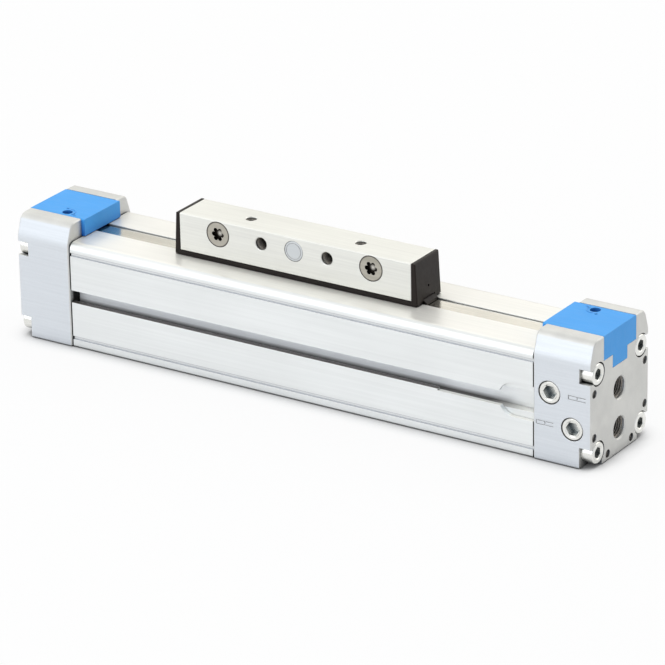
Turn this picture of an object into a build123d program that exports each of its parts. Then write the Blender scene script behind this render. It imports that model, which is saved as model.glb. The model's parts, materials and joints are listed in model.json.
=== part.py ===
from build123d import *
import os
from math import cos, radians, sin, sqrt

# Rodless pneumatic cylinder, in millimetres. X runs along the barrel, the photographed front
# faces -Y and Z is up. The origin lies midway along the barrel, on the surface it stands on.

# Length and travel
stroke = 60.0
base_length = 200.0  # overall length at no stroke
carriage_rest = -8.0  # middle of the carriage when stored, from the middle of the barrel
end_play = 0.5  # left between piston and cushioning boss at the end of the stroke

# Barrel
barrel_width = 42.0
barrel_height = 43.8
axis_height = 21.6  # centre of the bore above the base
bore_radius = 12.5
shoulder_radius = 3.0
foot_radius = 1.0
slot_width = 6.4  # the opening that the yoke's neck travels in
side_slot_width = 5.0
side_slot_lip = 1.9
side_slot_depth = 5.4
side_slot_chamber = 8.4
side_groove_width = 1.5
side_groove_depth = 0.8
side_groove_offset = 17.6  # from the bore axis up and down
nut_entry_radius = 6.9  # milled widening of the side slot at its right end
nut_entry_length = 15.0
lip_relief_length = 41.5
lip_relief_drop = 0.9
duct_radius = 1.7
duct_wall = 2.0  # between the air duct and the bore above it

# End caps and what is on them
cap_length = 24.5
cap_overhang = 0.5  # cap wider than the barrel, each side
cap_rise = 7.2  # cap higher than the barrel
cap_lean_height = 8.2
cap_lean = 2.9
cap_crest_radius = 3.5
cap_crease_radius = 8.0
cap_base_radius = 0.8
cap_edge = 0.4
gasket_thickness = 0.5
gasket_inset = 2.0  # its rim inside the barrel's outline
screw_edge = 5.0  # cap screws, in from the barrel's side
screw_rise = 15.75  # cap screws, up and down from the bore axis
screw_radius = 2.5
screw_head_radius = 4.25
screw_head_height = 5.0
screw_reach = 14.5  # thread engaged in the barrel
screw_socket = 4.0
socket_chamfer = 0.3
screw_slot_width = 5.8  # side opening of the upper counterbores
counterbore_gap = 0.45
port_radius = 4.3
upper_port_depth = 9.0
lower_port_depth = 11.0  # reaches the air duct's drilling
port_chamfer = 0.5
upper_port_rise = 4.6
lower_port_drop = 11.5
foot_hole_radius = 1.65
foot_hole_depth = 3.0
foot_hole_edge = 2.6
foot_hole_near = 8.8
plug_radius = 4.4
plug_length = 7.0
plug_socket = 5.0
plug_ring = 0.3  # open ring round the mouth of each plug
plug_ring_depth = 0.8
upper_plug_inset = 6.8  # from the cap's inner face
upper_plug_rise = 6.6
lower_plug_inset = 16.5
lower_plug_drop = 6.1
drill_radius = 1.4
sign_offset = 11.7  # engraved sign, from the axis of its side port
sign_length = 7.4
sign_height = 1.8
sign_stroke = 0.35
sign_depth = 0.25

# Cover over the band clamp
cover_to_screw = 4.0  # side of the cover to the line of the cap screws
cover_wall = 2.0
cover_skirt = 4.0
cover_end_height = 9.7
cover_stem_width = 10.8
cover_stem_height = 5.2
cover_gap = 0.1
cover_overhang = 1.6  # past the cap, over the barrel
cover_clearance = 0.3

# Cushioning screw under the hole in the cover
cushion_screw_radius = 2.0
cushion_screw_inset = 9.0
cushion_screw_side = 8.6
cushion_screw_length = 13.0
cushion_screw_point = 3.25
cushion_screw_slit = 0.8
cushion_seat_depth = 18.0
adjust_hole_radius = 2.1

# Bands and their clamps
outer_band_width = 8.0
outer_band_thickness = 0.4
outer_band_recess = 0.55  # top of the band below the barrel's top
outer_groove_gap = 0.4
outer_band_reach = 12.5
outer_bend_radius = 40.0
inner_band_width = 8.6
inner_band_thickness = 0.8
inner_groove_gap = 0.2
inner_band_reach = 6.0
inner_band_dip = 5.55
inner_bend_radius = 15.0
band_rest_gap = 0.05
clamp_plate_thickness = 3.2
clamp_plate_lap = 1.0
clamp_screw_radius = 2.0
clamp_head_radius = 3.2
clamp_head_height = 1.4

# Cushioning boss in each cap
boss_radius = 5.0
boss_length = 21.0
boss_flange_radius = 10.0
boss_spigot_radius = 4.5
boss_spigot_length = 5.0
boss_passage_radius = 1.5
boss_nose = 1.4
boss_seal_depth = 0.75
boss_seal_width = 1.4
chamber_length = 10.5

# Carriage
block_length = 105.7
block_depth = 17.4
block_height = 15.5
block_edge = 0.35
carriage_clearance = 0.3  # carriage parts above the barrel's top
strip_height = 1.7
strip_width = 1.1
end_piece_thickness = 1.6
end_piece_bevel = 0.4
end_piece_flare = 0.9  # its foot reaches further out than its top
gate_mark_radius = 0.5
gate_mark_depth = 0.4
gate_mark_rise = 6.0
channel_width = 8.8
channel_height = 3.4
top_hole_pitch = 50.0
top_hole_radius = 2.1
top_hole_depth = 8.0
front_hole_pitch = 30.0
front_hole_radius = 2.5
front_hole_depth = 12.0
front_hole_drop = 5.6  # front features below the block's top
cross_screw_pitch = 69.8
cross_screw_radius = 2.5
cross_head_radius = 5.0
cross_head_depth = 2.4
cross_ring = 0.25  # open ring round each head
cross_ring_depth = 0.5
star_radius = 2.8
star_depth = 1.5
star_lobes = 6
locating_plug_radius = 4.2
locating_plug_depth = 3.8
locating_ring = (3.1, 3.35)  # fine turned ring in its face
locating_ring_depth = 0.2
wiper_reach = 2.2
wiper_tip = 0.9
wiper_lap = 4.2
wiper_gap = 0.2

# Yoke between the bands
neck_half_length = 20.0
neck_gap = 0.4
bridge_overlap = 2.0  # bridge longer than the neck, each end
plate_overlap = 6.0  # plate longer than the neck, each end
rail_overlap = 2.1  # rails longer than the ears
ear_length = 10.0
ear_thickness = 2.0
ear_roof = 1.8
carrier_gap = 0.5
ramp_lead = 2.0  # level stretch of a band before and after its ramps
band_gap = 0.4
tunnel_gap = 0.6

# Pistons
piston_length = 29.0
piston_gap = 0.4
piston_spigot_radius = 5.0
piston_spigot_length = 9.0
ring_gap = 0.2
guide_ring_start = 3.0
guide_ring_width = 6.0
guide_ring_thickness = 1.5
magnet_start = 10.5
magnet_width = 3.0
magnet_thickness = 2.6
seal_start = 17.0
seal_width = 4.5
seal_thickness = 2.8
piston_nose = 0.9
cushion_wall_gap = 1.6  # cushioning bore wider than the boss, each side
cushion_bore_spare = 3.0  # cushioning bore deeper than the boss is long
cushion_seal_width = 3.0
cushion_seal_inset = 1.5
cushion_seal_groove = 1.0
shaft_gap = 0.2

# General
fit_gap = 0.1
edge_break = 0.3
plane_reach = 0.01  # an edge this near to a plane lies in it
through = 1.0  # how far cutting tools run past a face

# Derived places along the barrel
overall_length = base_length + stroke
cap_face = overall_length / 2
cap_back = cap_face - cap_length
barrel_end = cap_back - gasket_thickness
piston_end = barrel_end - end_play - stroke / 2
carrier_half_length = piston_end - piston_length

# Derived places across it
barrel_side = barrel_width / 2
cap_side = barrel_side + cap_overhang
block_side = block_depth / 2
screw_spread = barrel_side - screw_edge
cover_side = screw_spread - cover_to_screw
foot_hole_far = cap_side - foot_hole_edge
channel_side = channel_width / 2
ear_outside = channel_side + ear_thickness
plate_side = block_side - strip_width - fit_gap

# Derived heights
cap_height = barrel_height + cap_rise
duct_height = axis_height - bore_radius - duct_wall - duct_radius
outer_band_top = barrel_height - outer_band_recess
outer_band_bottom = outer_band_top - outer_band_thickness
inner_band_bottom = axis_height + bore_radius + band_rest_gap
inner_band_top = inner_band_bottom + inner_band_thickness
inner_groove_top = inner_band_top + band_rest_gap
cover_floor = outer_band_bottom
carriage_bottom = barrel_height + carriage_clearance
plate_bottom = carriage_bottom + fit_gap
block_bottom = carriage_bottom + strip_height
block_top = block_bottom + block_height
channel_top = block_bottom + channel_height
pocket_top = block_top - ear_roof
front_hole_height = block_top - front_hole_drop
band_lift = block_bottom + carriage_clearance - outer_band_bottom

# Derived sizes of the carriage and pistons
ear_start = (cross_screw_pitch - ear_length) / 2
ear_end = ear_start + ear_length
rail_half_length = ear_end + rail_overlap
bridge_half_length = neck_half_length + bridge_overlap
plate_half_length = neck_half_length + plate_overlap
outer_ramp = (plate_half_length + ramp_lead, block_length / 2 - wiper_lap - ramp_lead)
inner_ramp = (bridge_half_length + ramp_lead, carrier_half_length - ramp_lead / 2)
counterbore_radius = screw_head_radius + counterbore_gap
carrier_radius = bore_radius - carrier_gap
piston_radius = bore_radius - piston_gap
cushion_bore_radius = boss_radius + cushion_wall_gap
cushion_bore_depth = boss_length + cushion_bore_spare


def span_box(x, y, z):
    """A box from three (low, high) pairs."""
    size = [high - low for low, high in (x, y, z)]
    middle = [(low + high) / 2 for low, high in (x, y, z)]
    return Pos(*middle) * Box(*size)


def rod_x(radius, x, y, z):
    """A round bar along X from x[0] to x[1]."""
    return Pos((x[0] + x[1]) / 2, y, z) * Rot(0, 90, 0) * Cylinder(radius, x[1] - x[0])


def rod_y(radius, x, y, z):
    """A round bar along Y from y[0] to y[1]."""
    return Pos(x, (y[0] + y[1]) / 2, z) * Rot(90, 0, 0) * Cylinder(radius, y[1] - y[0])


def rod_z(radius, x, y, z):
    """A round bar along Z from z[0] to z[1]."""
    return Pos(x, y, (z[0] + z[1]) / 2) * Cylinder(radius, z[1] - z[0])


def mouth_x(radius, chamfer, x, y, z):
    """A cone that chamfers the mouth of a hole in a face that looks along +X."""
    cone = Cone(radius, radius + chamfer, chamfer)
    return Pos(x - chamfer / 2, y, z) * Rot(0, 90, 0) * cone


def mouth_y(radius, chamfer, x, y, z):
    """A cone that chamfers the mouth of a hole in a face that looks along -Y."""
    cone = Cone(radius, radius + chamfer, chamfer)
    return Pos(x, y + chamfer / 2, z) * Rot(90, 0, 0) * cone


def mouth_z(radius, chamfer, x, y, z):
    """A cone that chamfers the mouth of a hole in a face that looks up."""
    cone = Cone(radius, radius + chamfer, chamfer)
    return Pos(x, y, z - chamfer / 2) * cone


def edges_at(part, axis, place):
    """The edges of a part that lie in one plane across an axis."""
    return part.edges().filter_by_position(axis, place - plane_reach, place + plane_reach)


def hexagon(across_flats, depth):
    """A hexagonal prism standing on the XY plane."""
    return extrude(RegularPolygon(across_flats / sqrt(3), 6), depth)


def turned(points):
    """A solid of revolution about the bore axis, from (x, radius) points."""
    outline = Polyline(*[(x, 0, axis_height + r) for x, r in points], close=True)
    return revolve(make_face(outline), Axis((0, 0, axis_height), (1, 0, 0)))


def ring(x, inner, outer):
    """A plain ring about the bore axis."""
    return turned([(x[0], inner), (x[1], inner), (x[1], outer), (x[0], outer)])


def other_end(part):
    """The same part at the opposite end, turned half a turn about Z."""
    return Rot(0, 0, 180) * part


def on_carriage(part):
    """A carriage part, drawn about its own middle, at its place on the barrel."""
    return Pos(carriage_rest, 0, 0) * part


def flipped(part):
    """The carriage part at the opposite end of the carriage."""
    return on_carriage(other_end(part))


def both_sides(part):
    """A shape and its mirror image across the XZ plane."""
    return part + mirror(part, Plane.XZ)


def both_ends(part):
    """A shape and its mirror image across the YZ plane."""
    return part + mirror(part, Plane.YZ)


def along_x(section, x):
    """A YZ section drawn out from x[0] to x[1]."""
    return extrude(Plane.YZ.offset(x[0]) * section, x[1] - x[0])


def at_yz(y, z, sketch):
    """A flat shape moved to (y, z) in the section plane."""
    return Pos(y, z) * sketch


def side_slot_section(side):
    """T-slot and the two fine grooves on one side of the barrel."""
    mouth = Rectangle(2 * side_slot_lip, side_slot_width)
    chamber = Rectangle(side_slot_depth - side_slot_lip, side_slot_chamber)
    chamber_middle = barrel_side - (side_slot_depth + side_slot_lip) / 2
    groove = Rectangle(2 * side_groove_depth, side_groove_width)
    shape = at_yz(side * barrel_side, axis_height, mouth)
    shape += at_yz(side * chamber_middle, axis_height, chamber)
    for level in (-1, 1):
        shape += at_yz(side * barrel_side, axis_height + level * side_groove_offset, groove)
    return shape


def top_slot_section():
    """The slot that the yoke travels in, with a seat for each band."""
    groove_depth = barrel_height - outer_band_bottom
    groove = Rectangle(outer_band_width + 2 * outer_groove_gap, 2 * groove_depth)
    slot = Rectangle(slot_width, barrel_height - axis_height)
    seat_height = inner_groove_top - axis_height
    seat = Rectangle(inner_band_width + 2 * inner_groove_gap, seat_height)
    shape = at_yz(0, barrel_height, groove)
    shape += at_yz(0, (barrel_height + axis_height) / 2, slot)
    shape += at_yz(0, axis_height + seat_height / 2, seat)
    return shape


def barrel_section():
    """Cross-section of the extrusion."""
    corners = [
        (-barrel_side, 0),
        (barrel_side, 0),
        (barrel_side, barrel_height),
        (-barrel_side, barrel_height),
    ]
    radii = [foot_radius, foot_radius, shoulder_radius, shoulder_radius]
    section = make_face(FilletPolyline(*corners, radius=radii, close=True))
    section -= at_yz(0, axis_height, Circle(bore_radius))
    section -= top_slot_section()
    section -= at_yz(0, duct_height, Circle(duct_radius))
    for side in (-1, 1):
        section -= side_slot_section(side)
        for level in (-1, 1):
            place = (side * screw_spread, axis_height + level * screw_rise)
            section -= at_yz(*place, Circle(screw_radius + fit_gap))
    return section


def nut_entry():
    """Milled widening at the right end of both side slots, and the relief of the lower lip."""
    start = barrel_end - nut_entry_length
    middle = start + nut_entry_radius
    depth = (barrel_side - side_slot_lip, barrel_side + through)
    height = (axis_height - nut_entry_radius, axis_height + nut_entry_radius)
    cutter = span_box((middle, barrel_end + through), depth, height)
    cutter += rod_y(nut_entry_radius, middle, depth, axis_height)
    relief_bottom = axis_height - side_slot_width / 2 - lip_relief_drop
    relief = (barrel_end - lip_relief_length, middle)
    cutter += span_box(relief, depth, (relief_bottom, axis_height))
    return both_sides(cutter)


def barrel():
    """The slotted extrusion."""
    return along_x(barrel_section(), (-barrel_end, barrel_end)) - nut_entry()


def cap_section():
    """Outline of the end cap, seen along the barrel."""
    corners = [
        (-cap_side, 0),
        (cap_side, 0),
        (cap_side, cap_height - cap_lean_height),
        (cap_side - cap_lean, cap_height),
        (cap_lean - cap_side, cap_height),
        (-cap_side, cap_height - cap_lean_height),
    ]
    radii = [cap_base_radius, cap_base_radius, cap_crease_radius]
    radii += [cap_crest_radius, cap_crest_radius, cap_crease_radius]
    return make_face(FilletPolyline(*corners, radius=radii, close=True))


def screw_pocket(side, level):
    """Counterbore of one cap screw, open towards the nearest side of the cap."""
    y = side * screw_spread
    z = axis_height + level * screw_rise
    depth = (cap_face - screw_head_height, cap_face + through)
    pocket = rod_x(counterbore_radius, depth, y, z)
    pocket += rod_x(screw_radius + fit_gap, (cap_back - through, cap_face), y, z)
    half = screw_slot_width / 2
    inner = screw_spread if level > 0 else screw_spread - half
    low = z - half if level > 0 else -through
    across = sorted((side * inner, side * (cap_side + through)))
    return pocket + span_box(depth, across, (low, z + half))


def foot_holes():
    """Six small threaded holes on one circle about the bore axis, for a foot or flange."""
    depth = (cap_face - foot_hole_depth, cap_face + through)
    signs = (-1, 1)
    places = [(side * foot_hole_far, level * foot_hole_near) for side in signs for level in signs]
    places += [(side * foot_hole_near, -foot_hole_far) for side in signs]
    tool = Part()
    for y, z in places:
        tool += rod_x(foot_hole_radius, depth, y, axis_height + z)
    return tool


def end_ports():
    """Two threaded ports in the end face and the drillings behind them."""
    upper = (axis_height + upper_port_rise, cap_face - upper_port_depth)
    lower = (axis_height - lower_port_drop, cap_face - lower_port_depth)
    chamber = (cap_back - through, cap_back + chamber_length)
    tool = rod_x(boss_spigot_radius + fit_gap, chamber, 0, axis_height)
    for level, bottom in (upper, lower):
        tool += rod_x(port_radius, (bottom, cap_face + through), 0, level)
        tool += mouth_x(port_radius, port_chamfer, cap_face, 0, level)
    feed_height = axis_height + upper_port_rise / 2
    tool += rod_x(drill_radius, (cap_back, upper[1] + through), 0, feed_height)
    tool += rod_x(duct_radius, (cap_back - through, lower[1] + through), 0, duct_height)
    return tool


def plug_places():
    """(x, z) of the two side ports on the front of the right cap."""
    upper = (cap_back + upper_plug_inset, axis_height + upper_plug_rise)
    lower = (cap_back + lower_plug_inset, axis_height - lower_plug_drop)
    return [upper, lower]


def side_ports():
    """Side ports with a drilling towards the chamber and one towards the lower end port."""
    upper, lower = plug_places()
    depth = (-cap_side - through, plug_length + fit_gap - cap_side)
    tool = Part()
    for x, z in (upper, lower):
        tool += rod_y(plug_radius + fit_gap / 2, x, depth, z)
        tool += rod_y(plug_radius + plug_ring, x, (depth[0], plug_ring_depth - cap_side), z)
    inward = (depth[1] - through, -port_radius / 2)
    drop = plug_radius - drill_radius
    tool += rod_y(drill_radius, upper[0], inward, upper[1] - drop)
    tool += rod_y(drill_radius, lower[0], inward, lower[1] - drop)
    return tool


def port_signs():
    """Sign beside each side port: two long lines, closed at one end, with a bar across them."""
    half = sign_height / 2
    depth = (-cap_side - through, sign_depth - cap_side)
    tool = Part()
    for (x, z), way in zip(plug_places(), (1, -1)):
        middle = x + way * sign_offset
        start = middle - sign_length / 2
        for level in (z - half, z + half - sign_stroke):
            tool += span_box((start, start + sign_length), depth, (level, level + sign_stroke))
        for bar in (start, middle):
            tool += span_box((bar, bar + sign_stroke), depth, (z - half, z + half))
    return tool


def cover_blank(gap):
    """Outer form of the band cover; gap widens it into the seat in the cap."""
    half = cover_side + gap
    stem = cover_stem_width / 2 + gap
    skirt_back = cap_face - cover_skirt - gap
    end_low = cap_height - cover_end_height - gap
    top = cap_height + through * (gap > 0)
    front = cap_face + through * (gap > 0)
    blank = span_box((cap_back - through * (gap > 0), front), (-half, half), (cover_floor, top))
    blank += span_box((skirt_back, front), (-half, half), (end_low, top))
    blank += span_box((skirt_back, front), (-stem, stem), (end_low - cover_stem_height, top))
    return blank


def cushion_place():
    """(x, y) of the cushioning screw in the right cap."""
    return cap_back + cushion_screw_inset, cushion_screw_side


def cushion_drilling():
    """Vertical seat of the cushioning screw and its passage to the chamber."""
    x, y = cushion_place()
    depth = (cover_floor - cushion_seat_depth, cover_floor + through)
    level = axis_height + boss_spigot_radius - drill_radius
    return rod_z(cushion_screw_radius + fit_gap, x, y, depth) + rod_y(drill_radius / 2, x, (0, y), level)


def inner_clamp_x():
    """X of the grub screw on the inner band."""
    return cap_back + inner_band_reach - clamp_screw_radius - edge_break


def outer_clamp_x():
    """X of the screw on the outer band."""
    return cap_back + outer_band_reach - clamp_screw_radius - 2 * edge_break


def band_seats():
    """Slit for the inner band's end and tapped holes for the two clamp screws."""
    half = inner_band_width / 2 + inner_groove_gap
    back = (cap_back - through, cap_back + inner_band_reach + fit_gap)
    tool = span_box(back, (-half, half), (inner_band_bottom, inner_groove_top))
    depth = (inner_band_top, cover_floor + through)
    for x in (inner_clamp_x(), outer_clamp_x()):
        tool += rod_z(clamp_screw_radius + fit_gap / 2, x, 0, depth)
    return tool


def end_cap():
    """The right end cap."""
    cap = along_x(cap_section(), (cap_back, cap_face))
    for face in (cap_back, cap_face):
        cap = chamfer(edges_at(cap, Axis.X, face), cap_edge)
    cap -= cover_blank(cover_gap)
    for side in (-1, 1):
        for level in (-1, 1):
            cap -= screw_pocket(side, level)
    cap -= foot_holes()
    cap -= end_ports()
    cap -= side_ports()
    cap -= port_signs()
    cap -= cushion_drilling()
    return cap - band_seats()


def cap_gasket():
    """Thin gasket between barrel and cap, with the barrel's openings in it."""
    half = barrel_side - gasket_inset
    corners = [(-half, gasket_inset), (half, gasket_inset), (half, barrel_height - gasket_inset)]
    corners += [(-half, barrel_height - gasket_inset)]
    radii = [foot_radius, foot_radius, shoulder_radius, shoulder_radius]
    section = make_face(FilletPolyline(*corners, radius=radii, close=True))
    section -= at_yz(0, axis_height, Circle(bore_radius))
    top = barrel_height - axis_height
    passage = Rectangle(inner_band_width + 2 * inner_groove_gap, top)
    section -= at_yz(0, axis_height + top / 2, passage)
    section -= at_yz(0, duct_height, Circle(duct_radius))
    for side in (-1, 1):
        for level in (-1, 1):
            place = (side * screw_spread, axis_height + level * screw_rise)
            section -= at_yz(*place, Circle(screw_radius + fit_gap))
    return along_x(section, (barrel_end, cap_back))


def cap_screws():
    """Four socket-head screws that hold one cap."""
    seat = cap_face - screw_head_height
    head = rod_x(screw_head_radius, (seat, cap_face), 0, 0)
    head = chamfer(edges_at(head, Axis.X, cap_face), edge_break)
    socket_floor = Pos(cap_face - screw_head_height / 2, 0, 0) * Rot(0, 90, 0)
    socket = socket_floor * hexagon(screw_socket, screw_head_height)
    socket += mouth_x(screw_socket / sqrt(3), socket_chamfer, cap_face, 0, 0)
    screw = head + rod_x(screw_radius, (barrel_end - screw_reach, seat), 0, 0) - socket
    return [
        Pos(0, side * screw_spread, axis_height + level * screw_rise) * screw
        for side in (-1, 1)
        for level in (-1, 1)
    ]


def port_plugs():
    """Two flush plugs with hexagon sockets in the side ports."""
    depth = (fit_gap - cap_side, fit_gap + plug_length - cap_side)
    body = rod_y(plug_radius, 0, depth, 0)
    body = chamfer(edges_at(body, Axis.Y, depth[0]), edge_break)
    socket = Pos(0, depth[0] + plug_length / 2, 0) * Rot(90, 0, 0) * hexagon(plug_socket, plug_length)
    socket += mouth_y(plug_socket / sqrt(3), socket_chamfer, 0, depth[0], 0)
    return [Pos(x, 0, z) * (body - socket) for x, z in plug_places()]


def strip_cover():
    """The blue cover over the band clamp, hollow underneath."""
    lap = (cap_back - cover_overhang, cap_back)
    low = barrel_height + cover_clearance
    cover = cover_blank(0) + span_box(lap, (-cover_side, cover_side), (low, cap_height))
    cover = chamfer(edges_at(cover, Axis.Z, cap_height).filter_by(Axis.X), edge_break)
    inside = cover_side - cover_wall
    hollow = (cap_back + cover_wall, cap_face - cover_skirt)
    cover -= span_box(hollow, (-inside, inside), (cover_floor - through, cap_height - cover_wall))
    tunnel = outer_band_width / 2 + fit_gap
    wall = (cap_back - through, cap_back + cover_wall + through)
    cover -= span_box(wall, (-tunnel, tunnel), (cover_floor - through, outer_band_top + fit_gap))
    x, y = cushion_place()
    return cover - rod_z(adjust_hole_radius, x, y, (cover_floor, cap_height + through))


def cushion_screw():
    """Slotted needle screw under the hole in the cover."""
    x, y = cushion_place()
    top = cover_floor - 2 * edge_break
    shoulder = top - cushion_screw_length + cushion_screw_point
    shank = rod_z(cushion_screw_radius, 0, 0, (shoulder, top))
    point = Cone(drill_radius / 2, cushion_screw_radius, cushion_screw_point)
    screw = shank + Pos(0, 0, shoulder - cushion_screw_point / 2) * point
    half = cushion_screw_slit / 2
    across = (-cushion_screw_radius, cushion_screw_radius)
    slit = span_box((-half, half), across, (top - cushion_screw_slit, top + through))
    return Pos(x, y, 0) * (screw - slit)


def band_clamp():
    """Steel plate that presses the outer band onto the cap."""
    x = (cap_back + cover_wall + edge_break, cap_back + outer_band_reach)
    half = outer_band_width / 2 + clamp_plate_lap
    plate = span_box(x, (-half, half), (outer_band_top, outer_band_top + clamp_plate_thickness))
    plate = chamfer(plate.edges().filter_by(Axis.Z), edge_break)
    return plate - rod_z(clamp_screw_radius + fit_gap, outer_clamp_x(), 0, (cover_floor, cap_height))


def clamp_screws():
    """Grub screw on the inner band and pan screw on the clamp plate."""
    grub = rod_z(clamp_screw_radius, inner_clamp_x(), 0, (inner_band_top, cover_floor))
    plate_top = outer_band_top + clamp_plate_thickness
    x = outer_clamp_x()
    screw = rod_z(clamp_screw_radius, x, 0, (inner_band_top + 2 * edge_break, plate_top))
    screw += rod_z(clamp_head_radius, x, 0, (plate_top, plate_top + clamp_head_height))
    return [grub, screw]


def cushion_boss():
    """Boss that enters the piston near the end of the stroke and throttles the air."""
    tip = barrel_end - boss_length
    spigot_end = cap_back + boss_spigot_length
    groove = spigot_end - 2 * boss_seal_width
    outline = [
        (tip, boss_passage_radius),
        (tip, boss_radius - boss_nose),
        (tip + boss_nose, boss_radius),
        (barrel_end, boss_radius),
        (barrel_end, boss_flange_radius),
        (cap_back, boss_flange_radius),
        (cap_back, boss_spigot_radius),
        (groove, boss_spigot_radius),
        (groove, boss_spigot_radius - boss_seal_depth),
        (groove + boss_seal_width, boss_spigot_radius - boss_seal_depth),
        (groove + boss_seal_width, boss_spigot_radius),
        (spigot_end, boss_spigot_radius),
        (spigot_end, boss_passage_radius),
    ]
    return turned(outline)


def boss_seal():
    """Seal ring in the groove of the boss's spigot."""
    start = cap_back + boss_spigot_length - 2 * boss_seal_width
    inner = boss_spigot_radius - boss_seal_depth
    return ring((start, start + boss_seal_width), inner, boss_spigot_radius)


def band_path(half_length, level, middle_level, ramp, bend):
    """Middle line of a band: level at the ends, middle_level under or over the yoke."""
    inner, outer = ramp
    points = [(-half_length, level), (carriage_rest - outer, level)]
    points += [(carriage_rest - inner, middle_level), (carriage_rest + inner, middle_level)]
    points += [(carriage_rest + outer, level), (half_length, level)]
    return FilletPolyline(*[(x, 0, z) for x, z in points], radius=bend)


def swept_band(path, start, level, width, thickness):
    """A flat strip along a path that starts at (start, level)."""
    section = Plane.YZ.offset(start) * Pos(0, level) * Rectangle(width, thickness)
    return sweep(section, path=path)


def outer_band():
    """Steel cover band, lifted over the yoke's plate and pierced for the clamp screws."""
    half_length = cap_back + outer_band_reach
    level = (outer_band_top + outer_band_bottom) / 2
    path = band_path(half_length, level, level + band_lift, outer_ramp, outer_bend_radius)
    band = swept_band(path, -half_length, level, outer_band_width, outer_band_thickness)
    hole = rod_z(clamp_screw_radius + fit_gap, outer_clamp_x(), 0, (cover_floor - through, cap_height))
    return band - both_ends(hole)


def inner_band():
    """Sealing band inside the bore, led down under the yoke's neck."""
    half_length = cap_back + inner_band_reach
    level = (inner_band_top + inner_band_bottom) / 2
    path = band_path(half_length, level, level - inner_band_dip, inner_ramp, inner_bend_radius)
    return swept_band(path, -half_length, level, inner_band_width, inner_band_thickness)


def cross_screw_axis(end):
    """X of one cross screw, from the middle of the carriage."""
    return end * cross_screw_pitch / 2


def driver_block():
    """The aluminium block that loads are fastened to."""
    half = block_length / 2
    block = span_box((-half, half), (-block_side, block_side), (block_bottom, block_top))
    block = chamfer(block.edges(), block_edge)
    block -= span_box((-half - through, half + through), (-channel_side, channel_side), (0, channel_top))
    cut = span_box(
        (ear_start - fit_gap, ear_end + fit_gap),
        (-ear_outside - fit_gap, ear_outside + fit_gap),
        (0, pocket_top),
    )
    block -= both_ends(cut)
    front = -block_side
    for end in (-1, 1):
        x = cross_screw_axis(end)
        across = (front - through, block_side + through)
        block -= rod_y(cross_screw_radius + fit_gap / 2, x, across, front_hole_height)
        head = Cone(cross_screw_radius, cross_head_radius, cross_head_depth)
        block -= Pos(x, front + cross_head_depth / 2, front_hole_height) * Rot(90, 0, 0) * head
        rim = (front - through, front + cross_ring_depth)
        block -= rod_y(cross_head_radius + cross_ring, x, rim, front_hole_height)
        x = end * front_hole_pitch / 2
        block -= rod_y(front_hole_radius, x, (front - through, front + front_hole_depth), front_hole_height)
        block -= mouth_y(front_hole_radius, edge_break, x, front, front_hole_height)
        x = end * top_hole_pitch / 2
        block -= rod_z(top_hole_radius, x, 0, (block_top - top_hole_depth, block_top + through))
        block -= mouth_z(top_hole_radius, edge_break, x, 0, block_top)
    depth = (front - through, front + locating_plug_depth)
    return block - rod_y(locating_plug_radius, 0, depth, front_hole_height)


def locating_plug():
    """Pressed plug in the middle of the block's front."""
    front = -block_side
    plug = rod_y(locating_plug_radius, 0, (front, front + locating_plug_depth), front_hole_height)
    inner, outer = locating_ring
    depth = (front - through, front + locating_ring_depth)
    groove = rod_y(outer, 0, depth, front_hole_height) - rod_y(inner, 0, depth, front_hole_height)
    return chamfer(edges_at(plug, Axis.Y, front), edge_break) - groove


def star_socket():
    """Six-lobed recess in a screw head, standing on the XY plane."""
    lobe = star_radius / 3
    reach = star_radius - lobe
    shape = Circle(reach)
    for turn in range(star_lobes):
        angle = radians(360 / star_lobes * turn)
        shape += Pos(reach * cos(angle), reach * sin(angle)) * Circle(lobe)
    return extrude(shape, star_depth)


def cross_screws():
    """Countersunk screws that clamp block, yoke ears and band guides together."""
    front = -block_side
    head = Cone(cross_screw_radius, cross_head_radius, cross_head_depth)
    screw = Pos(0, front + cross_head_depth / 2, 0) * Rot(90, 0, 0) * head
    screw += rod_y(cross_screw_radius, 0, (front + cross_head_depth / 2, block_side), 0)
    screw -= Pos(0, front + star_depth, 0) * Rot(90, 0, 0) * star_socket()
    return [Pos(cross_screw_axis(end), 0, front_hole_height) * screw for end in (-1, 1)]


def end_piece():
    """Black end piece on the right of the block."""
    back = block_length / 2
    front = back + end_piece_thickness
    foot = front + end_piece_flare
    outline = [(back, carriage_bottom), (foot, carriage_bottom), (front, block_top), (back, block_top)]
    face = make_face(Polyline(*[(x, 0, z) for x, z in outline], close=True))
    piece = extrude(face, block_side, both=True)
    piece = chamfer(piece.faces().sort_by(Axis.X)[-1].edges(), end_piece_bevel)
    half = outer_band_width / 2 + fit_gap
    piece -= span_box((back - through, foot + through), (-half, half), (0, block_bottom + fit_gap))
    level = carriage_bottom + gate_mark_rise
    face = foot - end_piece_flare * gate_mark_rise / (block_top - carriage_bottom)
    return piece - rod_x(gate_mark_radius, (face - gate_mark_depth, foot), 0, level)


def side_strip():
    """Plastic strip under the front edge of the block, closing the gap to the barrel."""
    half = block_length / 2
    rail = rail_half_length + fit_gap
    outside = -block_side
    strip = span_box((-half, half), (outside, outside + strip_width), (carriage_bottom, block_bottom))
    ends = span_box((rail, half), (outside, -channel_side), (carriage_bottom, block_bottom))
    return strip + both_ends(ends)


def band_wiper():
    """Tongue that wipes the outer band where it leaves the carriage."""
    block_end = block_length / 2
    tip = block_end + end_piece_thickness + wiper_reach
    low = outer_band_top + wiper_gap
    outline = [
        (block_end - wiper_lap, low),
        (tip, low),
        (tip, low + wiper_tip),
        (block_end + end_piece_thickness, block_bottom),
        (block_end - wiper_lap, block_bottom),
    ]
    face = make_face(Polyline(*[(x, 0, z) for x, z in outline], close=True))
    return extrude(face, outer_band_width / 2, both=True)


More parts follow.
